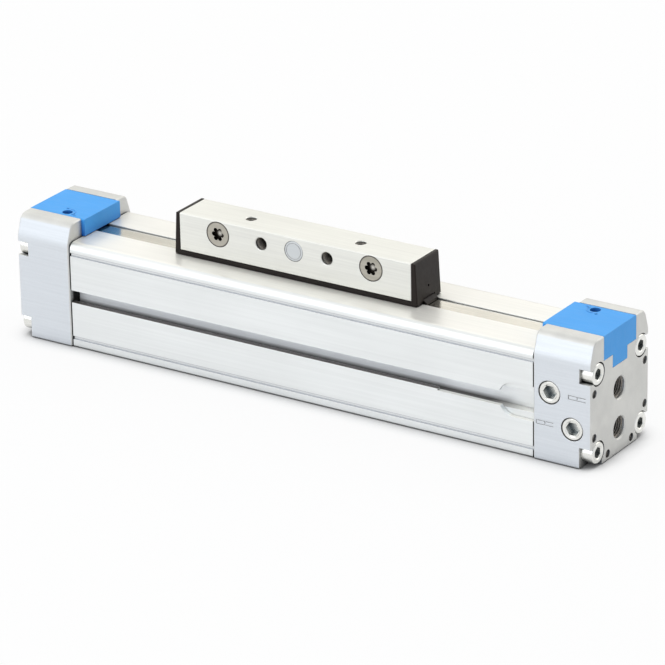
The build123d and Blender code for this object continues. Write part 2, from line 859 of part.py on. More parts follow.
def band_guide():
    """Plastic guide that leads the outer band back into its groove."""
    inner, outer = outer_ramp
    slope = band_lift / (outer - inner)
    raised = outer_band_top + band_lift + band_gap
    top = pocket_top - fit_gap
    outline = [
        (ear_start, top),
        (ear_start, raised - slope * (ear_start - inner)),
        (ear_end, raised - slope * (ear_end - inner)),
        (ear_end, top),
    ]
    face = make_face(Polyline(*[(x, 0, z) for x, z in outline], close=True))
    guide = extrude(face, channel_side, both=True)
    across = (-block_side, block_side)
    return guide - rod_y(cross_screw_radius + fit_gap, cross_screw_axis(1), across, front_hole_height)


def inner_tunnel():
    """Space through the carrier that the inner band runs in, dipping under the bridge."""
    half = inner_band_width / 2 + inner_groove_gap + fit_gap
    inner, outer = inner_ramp
    slope = inner_band_dip / (outer - inner)
    low = inner_band_bottom - inner_band_dip
    tunnel = span_box(
        (-bridge_half_length, bridge_half_length),
        (-half, half),
        (low - band_gap, low + inner_band_thickness + band_gap),
    )
    floor = low - tunnel_gap
    end = carrier_half_length + through
    outline = [
        (bridge_half_length, floor),
        (inner, floor),
        (end, floor + slope * (end - inner)),
        (end, axis_height + bore_radius + through),
        (bridge_half_length, axis_height + bore_radius + through),
    ]
    face = make_face(Polyline(*[(x, 0, z) for x, z in outline], close=True))
    ramp = extrude(face, half, both=True)
    return tunnel + both_ends(ramp)


def yoke():
    """Carrier in the bore, neck through the slot, and plate with ears that hold the block."""
    carrier = rod_x(carrier_radius, (-carrier_half_length, carrier_half_length), 0, axis_height)
    neck_low = inner_band_top - inner_band_dip + 2 * band_gap
    neck_side = slot_width / 2 - neck_gap
    neck = span_box((-neck_half_length, neck_half_length), (-neck_side, neck_side), (neck_low, block_bottom))
    body = carrier - inner_tunnel() + neck
    level = (plate_bottom, block_bottom)
    body += span_box((-plate_half_length, plate_half_length), (-plate_side, plate_side), level)
    rail = span_box((plate_half_length - through, rail_half_length), (channel_side, plate_side), level)
    ear = span_box((ear_start, ear_end), (channel_side, ear_outside), (plate_bottom, pocket_top - fit_gap))
    body += both_ends(both_sides(rail + ear))
    across = (-block_side, block_side)
    socket = (carrier_half_length - piston_spigot_length - fit_gap, carrier_half_length + through)
    holes = rod_y(cross_screw_radius + fit_gap, cross_screw_axis(1), across, front_hole_height)
    holes += rod_x(piston_spigot_radius + fit_gap / 2, socket, 0, axis_height)
    return body - both_ends(holes)


def piston():
    """Right piston half: a turned body with grooves, hollow for the cushioning boss."""
    base = carrier_half_length
    end = piston_end

    def groove(start, width, depth):
        return [
            (base + start, piston_radius),
            (base + start, piston_radius - depth),
            (base + start + width, piston_radius - depth),
            (base + start + width, piston_radius),
        ]

    seal_low = end - cushion_seal_inset - cushion_seal_width
    outline = [(base - piston_spigot_length, 0), (base - piston_spigot_length, piston_spigot_radius)]
    outline += [(base, piston_spigot_radius), (base, piston_radius)]
    outline += groove(guide_ring_start, guide_ring_width, guide_ring_thickness)
    outline += groove(magnet_start, magnet_width, magnet_thickness)
    outline += groove(seal_start, seal_width, seal_thickness)
    outline += [
        (end - piston_nose, piston_radius),
        (end, piston_radius - piston_nose),
        (end, cushion_bore_radius),
        (end - cushion_seal_inset, cushion_bore_radius),
        (end - cushion_seal_inset, cushion_bore_radius + cushion_seal_groove),
        (seal_low, cushion_bore_radius + cushion_seal_groove),
        (seal_low, cushion_bore_radius),
        (end - cushion_bore_depth, cushion_bore_radius),
        (end - cushion_bore_depth, 0),
    ]
    return turned(outline)


def guide_ring():
    """Split plastic ring that carries the piston in the bore."""
    start = carrier_half_length + guide_ring_start
    inner = piston_radius - guide_ring_thickness
    return ring((start, start + guide_ring_width), inner, bore_radius - ring_gap)


def magnet():
    """Ring magnet that a position sensor in the side slot reads."""
    start = carrier_half_length + magnet_start
    inner = piston_radius - magnet_thickness
    return ring((start, start + magnet_width), inner, piston_radius - fit_gap)


def piston_seal():
    """Lip seal, its lip towards the cap."""
    start = carrier_half_length + seal_start
    end = start + seal_width
    inner = piston_radius - seal_thickness
    lip = bore_radius - ring_gap
    notch = seal_thickness / 2
    outline = [
        (start, inner),
        (end, inner),
        (end, inner + notch - edge_break),
        (end - notch, inner + notch),
        (end, lip - edge_break),
        (end - notch, lip),
        (start, lip - edge_break),
    ]
    return turned(outline)


def cushion_seal():
    """Ring at the piston's mouth that closes round the cushioning boss."""
    end = piston_end - cushion_seal_inset
    outer = cushion_bore_radius + cushion_seal_groove
    return ring((end - cushion_seal_width, end), boss_radius + shaft_gap, outer)


def nodes():
    """Every piece by name, in its place with the carriage stored."""
    pieces = {"barrel": barrel(), "outer_band": outer_band(), "inner_band": inner_band()}
    at_caps = {
        "end_cap": end_cap(),
        "cap_gasket": cap_gasket(),
        "strip_cover": strip_cover(),
        "cap_screws": cap_screws(),
        "port_plugs": port_plugs(),
        "cushion_screw": cushion_screw(),
        "band_clamp": band_clamp(),
        "clamp_screws": clamp_screws(),
        "cushion_boss": cushion_boss(),
        "boss_seal": boss_seal(),
    }
    for name, part in at_caps.items():
        solids = part if isinstance(part, list) else [part]
        pieces[name + "_right"] = solids
        pieces[name + "_left"] = [other_end(solid) for solid in solids]
    at_both_ends = {
        "end_piece": end_piece(),
        "band_wiper": band_wiper(),
        "band_guide": band_guide(),
        "piston": piston(),
        "guide_ring": guide_ring(),
        "magnet": magnet(),
        "piston_seal": piston_seal(),
        "cushion_seal": cushion_seal(),
    }
    for name, part in at_both_ends.items():
        pieces[name + "_right"] = on_carriage(part)
        pieces[name + "_left"] = flipped(part)
    pieces["driver_block"] = on_carriage(driver_block())
    pieces["yoke"] = on_carriage(yoke())
    pieces["locating_plug"] = on_carriage(locating_plug())
    pieces["cross_screws"] = [on_carriage(screw) for screw in cross_screws()]
    pieces["side_strip_front"] = on_carriage(side_strip())
    pieces["side_strip_back"] = flipped(side_strip())
    return pieces


def main():
    os.makedirs("parts", exist_ok=True)
    for name, part in nodes().items():
        solids = part if isinstance(part, list) else [part]
        shape = Compound(children=[solid for piece in solids for solid in piece.solids()])
        export_step(shape, f"parts/{name}.step")


main()
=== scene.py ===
# %% [markdown]
# # A rodless air cylinder, finished in Blender
# The object is a slotted aluminium barrel with an end cap on each end and a carriage that slides
# along the top. Its solids come from a imported CAD model, and they already have the right size and
# place. What is left for Blender is how it looks: the finish of each metal and plastic, the two
# thin bands that bend, the threads in the holes, and the small raised signs.
#
# We load the model first.

# %% Load the model
import json
import math

import bmesh
import bpy
from mathutils import Matrix, Vector


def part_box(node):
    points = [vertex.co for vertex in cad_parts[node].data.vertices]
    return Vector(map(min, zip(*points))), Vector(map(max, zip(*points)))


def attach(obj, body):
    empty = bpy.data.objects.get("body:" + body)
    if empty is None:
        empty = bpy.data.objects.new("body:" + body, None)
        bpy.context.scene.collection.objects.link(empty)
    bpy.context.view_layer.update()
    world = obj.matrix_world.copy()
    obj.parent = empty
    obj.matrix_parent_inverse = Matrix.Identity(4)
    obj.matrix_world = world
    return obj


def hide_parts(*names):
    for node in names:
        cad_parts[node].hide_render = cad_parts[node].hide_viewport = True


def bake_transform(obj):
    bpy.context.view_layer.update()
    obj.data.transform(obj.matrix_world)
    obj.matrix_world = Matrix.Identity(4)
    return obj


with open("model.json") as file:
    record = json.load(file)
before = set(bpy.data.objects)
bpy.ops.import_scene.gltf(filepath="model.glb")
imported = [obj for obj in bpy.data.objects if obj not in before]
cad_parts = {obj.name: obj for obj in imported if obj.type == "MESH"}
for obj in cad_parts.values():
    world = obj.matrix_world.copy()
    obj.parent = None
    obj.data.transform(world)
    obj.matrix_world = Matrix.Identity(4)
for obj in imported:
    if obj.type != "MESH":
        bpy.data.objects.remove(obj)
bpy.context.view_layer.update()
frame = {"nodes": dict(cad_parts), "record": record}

MM = 0.001

# %% [markdown]
# ## The camera
# The photograph was taken from the front right and a little above, with a long lens, so the
# barrel's far end hardly gets smaller. A camera needs three directions: back, right and up. We
# work them out from two angles and a small roll, which is clearer than typing Euler angles.
# Blender's camera looks along its own -Z, so "back" is its Z axis. From the object's origin the
# camera stands a distance back, and a little aside and above, which centres the picture.

# %% Place the camera
azimuth, elevation, roll = (math.radians(angle) for angle in (33.201, 22.668, -1.0865))
distance, aside, above = 1778.42 * MM, 2.4445 * MM, 19.1187 * MM
back = Vector((math.sin(azimuth) * math.cos(elevation), -math.cos(azimuth) * math.cos(elevation),
               math.sin(elevation)))
level_right = Vector((0, 0, 1)).cross(back).normalized()
level_up = back.cross(level_right)
right = math.cos(roll) * level_right + math.sin(roll) * level_up
up = math.cos(roll) * level_up - math.sin(roll) * level_right

camera = bpy.data.objects.new("camera", bpy.data.cameras.new("camera"))
bpy.context.scene.collection.objects.link(camera)
camera.matrix_world = Matrix((right, up, back)).transposed().to_4x4()
camera.location = back * distance + right * aside + up * above
camera.data.sensor_width = 36.0
camera.data.lens = 249.02
camera.data.clip_end = 20.0
bpy.context.scene.camera = camera
print("camera at", [round(x, 3) for x in camera.location])

# %% [markdown]
# ## Building materials from nodes
# Every finish below is a small network of nodes. Adding nodes by hand takes many lines, so we
# write a few helpers. `add` makes one node and fills its inputs, either with a number or with the
# output of another node. `calc` does a step of arithmetic, `spread` maps one range of numbers onto
# another, and `blend_colours` mixes two colours. `blank` starts a material and `show` ends it.

# %% Node helpers
def add(tree, kind, inputs=(), **options):
    """Add a shader node and return its outputs. inputs maps a socket to a value or an output."""
    made = tree.nodes.new("ShaderNode" + kind)
    for name, value in options.items():
        setattr(made, name, value)
    for socket, value in dict(inputs).items():
        if isinstance(value, bpy.types.NodeSocket):
            tree.links.new(value, made.inputs[socket])
        else:
            made.inputs[socket].default_value = value
    return made.outputs


def calc(tree, operation, *values):
    """One step of arithmetic on numbers and outputs."""
    return add(tree, "Math", dict(enumerate(values)), operation=operation)[0]


def spread(tree, factor, low, high, start=0.3, end=0.7):
    """Spread a factor's part from start to end over the range from low to high."""
    sockets = {"Value": factor, "From Min": start, "From Max": end, "To Min": low, "To Max": high}
    return add(tree, "MapRange", sockets)[0]


def blend_colours(tree, factor, first, second, way="MIX"):
    """Mix two colours, each given as three numbers or as an output, by a factor."""
    first, second = (c if isinstance(c, bpy.types.NodeSocket) else (*c, 1) for c in (first, second))
    return add(tree, "Mix", {0: factor, 6: first, 7: second}, data_type="RGBA", blend_type=way)[2]


def blank(name):
    """A new material without any nodes, and its node tree."""
    material = bpy.data.materials.new(name)
    material.use_nodes = True
    tree = material.node_tree
    tree.nodes.clear()
    return material, tree


def show(tree, shader):
    """Send a shader to the material's output."""
    add(tree, "OutputMaterial", {"Surface": shader})


print("helpers ready")

# %% [markdown]
# ## Two kinds of ray
# Some rays of light look at a thing: they come from the camera, or from it by way of a reflection.
# The others only carry light from one surface to the next. The floor and the world below answer
# the two kinds in different ways, which a photographer can't do and a shader can.

# %% Tell the rays apart
def direct_view(tree):
    """The outputs that describe a ray, and 1 for a ray that looks at things."""
    ray = add(tree, "LightPath")
    seen = calc(tree, "MAXIMUM", ray["Is Camera Ray"], ray["Is Glossy Ray"])
    return ray, calc(tree, "MAXIMUM", seen, ray["Is Transmission Ray"])


print("direct_view ready")

# %% [markdown]
# ## The floor and the background
# The object stands on plain white, and only its soft shadow shows. A white floor lit by lamps
# alone would need so much light that the metal burns out. So the floor's material mixes two
# things: a plain white diffuse surface, which keeps the shadow, and a white glow of strength 1.
# The glow is there only for rays that look, so the floor still throws only its plain diffuse
# light back onto the object. Close under the object the glow fades and the diffuse white is
# painted darker: a painted contact shadow, the thin dark line that any real thing has where it
# meets the table.

# %% Floor
floor_mesh = bmesh.new()
bmesh.ops.create_grid(floor_mesh, x_segments=1, y_segments=1, size=3.0)
floor_data = bpy.data.meshes.new("floor")
floor_mesh.to_mesh(floor_data)
floor_mesh.free()
floor = bpy.data.objects.new("floor", floor_data)
bpy.context.scene.collection.objects.link(floor)

floor_white, tree = blank("floor_white")
_, looked_at = direct_view(tree)
open_sky = add(tree, "AmbientOcclusion", {"Distance": 9 * MM}, samples=12)["AO"]
# Painted contact shadow: close under the object the floor's white and its glow both fade.
white_with_painted_shadow = spread(tree, open_sky, 0.40, 0.86, start=0.3, end=0.85)
matt = add(tree, "BsdfDiffuse", {"Color": white_with_painted_shadow})[0]
glow = add(tree, "Emission", {"Color": (1, 1, 1, 1), "Strength": 1.0})[0]
share = spread(tree, open_sky, 0.0, 0.88, start=0.4, end=1.0)
show(tree, add(tree, "MixShader", {0: calc(tree, "MULTIPLY", looked_at, share), 1: matt, 2: glow})[0])
floor_data.materials.append(floor_white)
print("floor side:", floor.dimensions.x, "m")

# %% [markdown]
# ## The world
# The world does two jobs. To the camera and to polished metal it is a pale studio: bright at half
# height and greyer near the horizon, which gives rounded metal its gentle shading. The horizon is
# cool in front and warm behind, so the flat tops look warmer than the long sides. Straight above
# it is dark, because the largest lamp hangs there: a lamp in Cycles doesn't hide what is behind
# it, so in a mirror the two would add up and burn out. To everything else the world is a weak,
# even fill light. The camera itself sees pure white instead of the studio.

# %% World
world = bpy.data.worlds.new("studio")
bpy.context.scene.world = world
world.use_nodes = True
tree = world.node_tree
tree.nodes.clear()
ray, looked_at = direct_view(tree)
direction = add(tree, "SeparateXYZ", {0: add(tree, "TexCoord")["Generated"]})
cool_front, warm_back = (0.70, 0.74, 0.80), (0.66, 0.63, 0.57)
behind = spread(tree, direction["Y"], 0, 1, start=-0.3, end=0.5)
horizon = blend_colours(tree, behind, cool_front, warm_back)
bright_wall, dark_ceiling = (0.88, 0.895, 0.90), (0.05, 0.05, 0.05)
height = spread(tree, direction["Z"], 0, 1, start=0.0, end=0.85)
pale = blend_colours(tree, height, horizon, bright_wall)
overhead = spread(tree, direction["Z"], 0, 1, start=0.60, end=0.92)
pale = blend_colours(tree, overhead, pale, dark_ceiling)
white_to_camera = blend_colours(tree, ray["Is Camera Ray"], pale, (1, 1, 1))
studio = add(tree, "Background", {"Color": white_to_camera, "Strength": 1.0})[0]
fill = add(tree, "Background", {"Color": (0.93, 0.96, 1.0, 1), "Strength": 0.42})[0]
both = add(tree, "MixShader", {0: looked_at, 1: fill, 2: studio})[0]
add(tree, "OutputWorld", {"Surface": both})
bpy.context.scene.view_settings.view_transform = "Standard"
print("world ready")

# %% [markdown]
# ## Lamps
# Three large area lamps stand in for softboxes. The key hangs above, a little behind and to the
# left, so the tops come out brightest, the carriage shades the barrel in front of it, and the
# right end face is in half shade. The front lamp opens up the long side. The rear lamp draws a
# thin light line along the far edges, and stands far to the right, where the flat tops don't
# mirror it. A lamp seen in metal looks as bright as its power over its area, so these are large
# and weak, and white metal stays just under pure white.

# %% Lamps
def softbox(name, place, target, size, watts, colour):
    """A square area lamp at a place, turned towards a target. All lengths are in metres."""
    data = bpy.data.lights.new(name, "AREA")
    data.shape = "SQUARE"
    data.size = size
    data.energy = watts
    data.color = colour
    lamp = bpy.data.objects.new(name, data)
    bpy.context.scene.collection.objects.link(lamp)
    lamp.location = place
    lamp.rotation_euler = (Vector(target) - Vector(place)).to_track_quat("-Z", "Y").to_euler()
    print(name, watts, "W")


softbox("key", (-0.35, 0.31, 1.31), (0, 0, 0.02), size=2.8, watts=20.6, colour=(1.0, 0.99, 0.965))
softbox("front", (-0.30, -1.40, 0.62), (0, 0, 0.02), size=1.75, watts=13.8, colour=(0.97, 0.985, 1.0))
softbox("rear", (0.65, 1.15, 0.72), (0, 0, 0.03), size=1.2, watts=4.5, colour=(1.0, 0.98, 0.95))

# %% [markdown]
# ## Patterns that all finishes share
# Metal and plastic look real when four things vary a little: the tone, the gloss, the tiny
# relief and the worn edges. All patterns read Object coordinates, which are metres on the real
# thing, so a grain of 0.3 mm is 0.3 mm on every piece. A Mapping node stretches a noise along one
# direction, and that turns round specks into the lines that a die or a belt leaves. A shift moves
# a noise to another part of its pattern, so that two of them don't line up.

# %% Pattern helpers
def noise(tree, size, stretch=(1, 1, 1), detail=2.0, shift=0.0):
    """Cloudy noise with features of a given size in metres, longer where stretch is above 1."""
    place = add(tree, "TexCoord")["Object"]
    sockets = {"Vector": place, "Scale": [1 / (size * s) for s in stretch], "Location": [shift] * 3}
    mapped = add(tree, "Mapping", sockets)[0]
    return add(tree, "TexNoise", {"Vector": mapped, "Scale": 1.0, "Detail": detail})[0]


def position(tree):
    """The X, Y and Z of a point in the object, in metres."""
    return add(tree, "SeparateXYZ", {0: add(tree, "TexCoord")["Object"]})


def facing(tree):
    """The X, Y and Z of the direction that a surface faces, in the object."""
    return add(tree, "SeparateXYZ", {0: add(tree, "TexCoord")["Normal"]})


def between(tree, value, low, high):
    """1 where a value lies between two limits, else 0."""
    above, below = calc(tree, "GREATER_THAN", value, low), calc(tree, "LESS_THAN", value, high)
    return calc(tree, "MULTIPLY", above, below)


print("pattern helpers ready")

# %% [markdown]
# For worn edges we use the Bevel node. It rounds the surface's direction near an edge, and where
# that differs from the true direction there must be an edge. The opposite of a worn edge is a
# recess, where light hardly comes, and there the colour is darkened as painted shade. The Ambient
# Occlusion node finds recesses: it looks a few millimetres around each point and returns how much
# of the sky is open. A short look of 1.2 mm paints thin lines of shade into inner corners, and a
# long look paints whole holes dark. Blending with a look never goes below its `least`, which keeps
# the thin lines from turning black.

# %% Edges, relief and recesses
SHORT_LOOK = 1.2 * MM
STRAIGHT_DOWN = -0.95


def edge_mask(tree, radius, low=0.01, high=0.12):
    """1 close to an edge and 0 on the open surface."""
    rounded = add(tree, "Bevel", {"Radius": radius}, samples=6)[0]
    true = add(tree, "NewGeometry")["Normal"]
    same = add(tree, "VectorMath", {0: rounded, 1: true}, operation="DOT_PRODUCT")["Value"]
    return spread(tree, calc(tree, "SUBTRACT", 1.0, same), 0.0, 1.0, low, high)


def relief(tree, height, depth, below=None):
    """A bump of a given depth in metres, on top of another normal if there is one."""
    sockets = {"Height": height, "Strength": 1.0, "Distance": depth}
    if below is not None:
        sockets["Normal"] = below
    return add(tree, "Bump", sockets)[0]


def paint_recess_shade(tree, colour, reach, shade_colour, start=0.12, end=0.5, least=0.0):
    """Paint shade where other surfaces stand close around, as in holes, grooves and gaps.

    Surfaces that face straight down are left unshaded, or the whole base would count as a gap.
    """
    open_sky = add(tree, "AmbientOcclusion", {"Distance": reach}, samples=8)["AO"]
    is_base = calc(tree, "LESS_THAN", facing(tree)["Z"], STRAIGHT_DOWN)
    open_sky = calc(tree, "MAXIMUM", open_sky, is_base)
    return blend_colours(tree, spread(tree, open_sky, least, 1, start, end), shade_colour, colour)


finishes = {}
print("edge and recess helpers ready")

# %% [markdown]
# ## One recipe for worked metal
# Most of the object is metal that some tool has worked: extruded, milled, ground or blasted.
# What differs is the size of the lines and of the grain, so one function takes those as
# arguments. The tone varies in soft clouds, the lines vary the gloss and the relief, and the
# edges are brighter and a little rounder, because edges are where an anodised layer wears first.

# %% Worked metal
def worked_metal(name, dark, light, gloss, line, grain, metallic=1.0, edge=0.25, rounding=0.15,
                 reach=3.0, shade_colour=(0.10, 0.085, 0.07), open_from=0.5, inside=None):
    """Metal with lines along X. line and grain are (size, depth) in millimetres.

    gloss is the least and the greatest roughness. rounding and reach are in millimetres too.
    inside may be a function that changes the colour and the metallic value in some places.
    """
    material, tree = blank(name)
    cloud = noise(tree, 16 * MM, (2.5, 1, 1), 3.0)
    lines = noise(tree, line[0] * MM, (90, 1, 1), 3.0, shift=7.0)
    specks = noise(tree, grain[0] * MM, detail=1.0, shift=3.0)
    mixed = calc(tree, "MULTIPLY_ADD", lines, 0.5, calc(tree, "MULTIPLY", cloud, 0.5))
    colour = blend_colours(tree, spread(tree, mixed, 0, 1, 0.35, 0.65), dark, light)
    worn, bare_metal = edge_mask(tree, rounding * 2 * MM), (0.95, 0.95, 0.94)
    colour = blend_colours(tree, spread(tree, worn, 0, edge, 0, 1), colour, bare_metal)
    # Painted shade: thin dark lines in inner corners, and dark holes and gaps.
    colour = paint_recess_shade(tree, colour, SHORT_LOOK, shade_colour, start=0.3, end=0.68, least=0.3)
    colour = paint_recess_shade(tree, colour, reach * MM, shade_colour, end=open_from)
    if inside:
        colour, metallic = inside(tree, colour, metallic)
    rough = spread(tree, mixed, gloss[0], gloss[1])
    soft_edge = add(tree, "Bevel", {"Radius": rounding * MM}, samples=6)[0]
    normal = relief(tree, lines, line[1] * MM, soft_edge)
    normal = relief(tree, specks, grain[1] * MM, normal)
    surface = {"Base Color": colour, "Roughness": rough, "Metallic": metallic, "Normal": normal}
    show(tree, add(tree, "BsdfPrincipled", surface)[0])
    finishes[name] = material
    print(name, "made with", len(tree.nodes), "nodes")


print("worked_metal ready")

# %% [markdown]
# ## The aluminium finishes
# The barrel is extruded and clear anodised: a fine satin with long lines from the die. The driver
# block and the yoke are milled, so their lines are finer and a little deeper. Anodised layers
# scatter light like thin milk glass, so they get slightly less than full metallic. The threads
# are cut into bare metal; their dark colour is painted shade of the holes, and their crests are
# lighter, like every worn edge.
#
# The barrel's side slots need something of their own. Their back wall is painted pale and bluish,
# as painted light that the white table throws up, while the bottom and the lower lip are painted
# dark as shade. A mask built from the Object coordinates finds the slots, and a ramp over the
# height turns the painted light into the painted shade. It fades where the slot is milled wide open
# at its right end. The same function gives the barrel's flat top less metal: handling has made it
# milkier, so it mirrors the black carriage less than polished metal would. It also paints the top a
# warmer, lighter tone, as painted warm light.
#
# The limits below are distances from the middle plane, heights above the base, and places along
# the barrel. The two fine grooves on a side lie twice `HALF_PITCH` apart, so a wrap about the
# lower one measures how far a height is from the nearer of the two.

# %% Inside the barrel's side slots
SLOT_BACK, LIP_INSIDE, SIDE_FACE = 15.0 * MM, 19.15 * MM, 21.05 * MM
HOLLOW_HEIGHTS, MOUTH_HEIGHTS = (17.3 * MM, 25.9 * MM), (18.95 * MM, 24.25 * MM)
HOLLOW_BOTTOM, MOUTH_BOTTOM, RAMP = 17.2 * MM, 19.2 * MM, (0.1 * MM, 2.1 * MM)
LIP_STEP = LIP_INSIDE - 0.1 * MM, LIP_INSIDE + 0.1 * MM
ENTRY_START, ENTRY_END = 84 * MM, 101 * MM
LOWER_GROOVE, HALF_PITCH = 3.8 * MM, 17.6 * MM
GROOVE_DEPTHS, GROOVE_HALF = (20.1 * MM, 20.95 * MM), 0.97 * MM
# Painted shade along a fine groove grows from the first to the second distance off its middle.
GROOVE_SHADE_FROM = 0.2 * MM, 0.45 * MM


def side_slots(tree, colour, metallic):
    """Painted light and shade in the two T-slots, and a milkier top with painted warm light."""
    place = position(tree)
    across = calc(tree, "ABSOLUTE", place["Y"])
    hollow = calc(tree, "MULTIPLY", between(tree, across, SLOT_BACK, LIP_INSIDE),
                  between(tree, place["Z"], *HOLLOW_HEIGHTS))
    mouth = calc(tree, "MULTIPLY", between(tree, across, LIP_INSIDE, SIDE_FACE),
                 between(tree, place["Z"], *MOUTH_HEIGHTS))
    before_entry = spread(tree, place["X"], 1.0, 0.0, ENTRY_START, ENTRY_END)
    in_slot = calc(tree, "MULTIPLY", calc(tree, "MAXIMUM", hollow, mouth), before_entry)
    bottom = spread(tree, across, HOLLOW_BOTTOM, MOUTH_BOTTOM, *LIP_STEP)
    ramp = spread(tree, calc(tree, "SUBTRACT", place["Z"], bottom), 0.0, 1.0, *RAMP)
    # The dark colour is painted shade at the slot's bottom and on the lower lip; pale is painted light
    # on the back wall.
    painted_slot_shade, pale = (0.085, 0.076, 0.070), (0.94, 0.965, 0.99)
    shade = blend_colours(tree, ramp, painted_slot_shade, pale)
    is_top = spread(tree, facing(tree)["Z"], 0.0, 1.0, 0.90, 0.98)
    # Painted warm light: faces that look up are tinted warmer and lighter.
    painted_warm_light = (1.09, 1.045, 0.98)
    colour = blend_colours(tree, is_top, colour, painted_warm_light, "MULTIPLY")
    colour = fine_grooves(tree, colour, place["Z"], across)
    metallic = spread(tree, is_top, metallic, 0.35, 0.0, 1.0)
    return blend_colours(tree, in_slot, colour, shade), spread(tree, in_slot, metallic, 0.15, 0.0, 1.0)


def fine_grooves(tree, colour, height, across):
    """Painted shade along both edges of the two fine grooves on each side of the barrel."""
    from_lower = calc(tree, "SUBTRACT", height, LOWER_GROOVE)
    away = calc(tree, "ABSOLUTE", calc(tree, "WRAP", from_lower, HALF_PITCH, -HALF_PITCH))
    in_groove = calc(tree, "MULTIPLY", between(tree, across, *GROOVE_DEPTHS),
                     between(tree, away, 0.0, GROOVE_HALF))
    groove_shade_share = calc(tree, "MULTIPLY", in_groove, spread(tree, away, 0.0, 1.0, *GROOVE_SHADE_FROM))
    painted_groove_shade = (0.56, 0.575, 0.60)
    return blend_colours(tree, groove_shade_share, colour, painted_groove_shade)


print("slot mask ready")

# %% Barrel, block and bosses
worked_metal("anodised_aluminium", (0.76, 0.78, 0.78), (0.82, 0.84, 0.84), gloss=(0.32, 0.42),
             line=(0.9, 0.003), grain=(0.25, 0.002), metallic=0.85, reach=9.0,
             shade_colour=(0.05, 0.045, 0.045), open_from=0.36, inside=side_slots)
worked_metal("machined_aluminium", (0.71, 0.71, 0.67), (0.80, 0.80, 0.755), gloss=(0.36, 0.48),
             line=(0.5, 0.004), grain=(0.3, 0.002), metallic=0.8, reach=9.0,
             shade_colour=(0.045, 0.036, 0.03), open_from=0.6)
worked_metal("turned_aluminium", (0.56, 0.585, 0.60), (0.62, 0.645, 0.66), gloss=(0.40, 0.50),
             line=(0.3, 0.002), grain=(0.2, 0.002), metallic=0.7, edge=0.5,
             shade_colour=(0.10, 0.11, 0.12))
# Threads: their dark colour is painted shade of the holes.
worked_metal("painted_shade_thread", (0.11, 0.098, 0.085), (0.19, 0.172, 0.15), gloss=(0.28, 0.40),
             line=(0.3, 0.002), grain=(0.2, 0.002), metallic=0.9, edge=0.85, rounding=0.08,
             reach=9.0, shade_colour=(0.03, 0.027, 0.024), open_from=0.36)

# %% [markdown]
# ## The end caps
# The caps are cast, then blasted, and their long sides are milled flat. Blasting leaves a matt
# grain everywhere, while the milled sides show level tool lines and have a cooler tone, which is
# partly their finish and partly painted cool light. The object-space normal tells the two apart:
# its Y part is near 1 only on the milled sides.

# %% End caps
cast, tree = blank("cast_aluminium")
cloud = noise(tree, 9 * MM, detail=4.0)
specks = noise(tree, 0.35 * MM, detail=2.0, shift=3.0)
tool_lines = noise(tree, 0.8 * MM, (40, 1, 1), 2.0, shift=5.0)
sideways = calc(tree, "ABSOLUTE", facing(tree)["Y"])
milled = spread(tree, sideways, 0.0, 1.0, 0.8, 0.9)
tone = spread(tree, cloud, 0.0, 1.0, 0.35, 0.65)
blasted_colour = blend_colours(tree, tone, (0.62, 0.62, 0.60), (0.68, 0.68, 0.655))
lined = spread(tree, tool_lines, 0.0, 1.0, 0.35, 0.65)
# The milled sides' cooler tone is partly their finish and partly painted cool light.
milled_colour = blend_colours(tree, lined, (0.645, 0.675, 0.71), (0.675, 0.705, 0.74))
colour = blend_colours(tree, milled, blasted_colour, milled_colour)
worn, bare_metal = edge_mask(tree, 0.35 * MM), (0.92, 0.92, 0.91)
colour = blend_colours(tree, spread(tree, worn, 0, 0.35, 0, 1), colour, bare_metal)
# Painted shade: thin dark lines in inner corners, and dark holes.
line_shade, hole_shade = (0.05, 0.05, 0.055), (0.03, 0.03, 0.035)
colour = paint_recess_shade(tree, colour, SHORT_LOOK, line_shade, start=0.3, end=0.68, least=0.72)
colour = paint_recess_shade(tree, colour, 8.0 * MM, hole_shade, end=0.6)
rough = spread(tree, specks, 0.42, 0.58)
soft_edge = add(tree, "Bevel", {"Radius": 0.3 * MM}, samples=6)[0]
relief_depth = 0.012 * MM
normal = relief(tree, calc(tree, "MULTIPLY", tool_lines, milled), relief_depth, soft_edge)
normal = relief(tree, specks, relief_depth, normal)
surface = {"Base Color": colour, "Roughness": rough, "Metallic": 0.7, "Normal": normal}
show(tree, add(tree, "BsdfPrincipled", surface)[0])
finishes["cast_aluminium"] = cast
print("cast_aluminium made with", len(tree.nodes), "nodes")

# %% [markdown]
# ## Steel, zinc and brass
# The cover band is rolled stainless steel: darker than aluminium, with long streaks. The screws
# are zinc plated, which gives them a faint yellow cast in cloudy patches. The two countersunk
# screws are plain steel, and their star recess is painted black as shade. It is too wide and
# shallow for the painted recess shade, so a mask on the distance from the middle plane paints it
# dark. The distance from the screw's axis then paints a highlight on the recess floor and shade on
# the head's rim. The two screws stand as far out on either side of the carriage's middle, which a
# single absolute value takes care of. The adjusting screws are turned brass.

# %% Small metal parts
CARRIAGE_REST, SCREW_OUT, ROW_HEIGHT = -8.0 * MM, 34.9 * MM, 55.7 * MM
RECESS_FACE = -8.45 * MM
FLOOR_SPOT, HEAD_RIM = (0.2 * MM, 1.3 * MM), (4.55 * MM, 4.9 * MM)


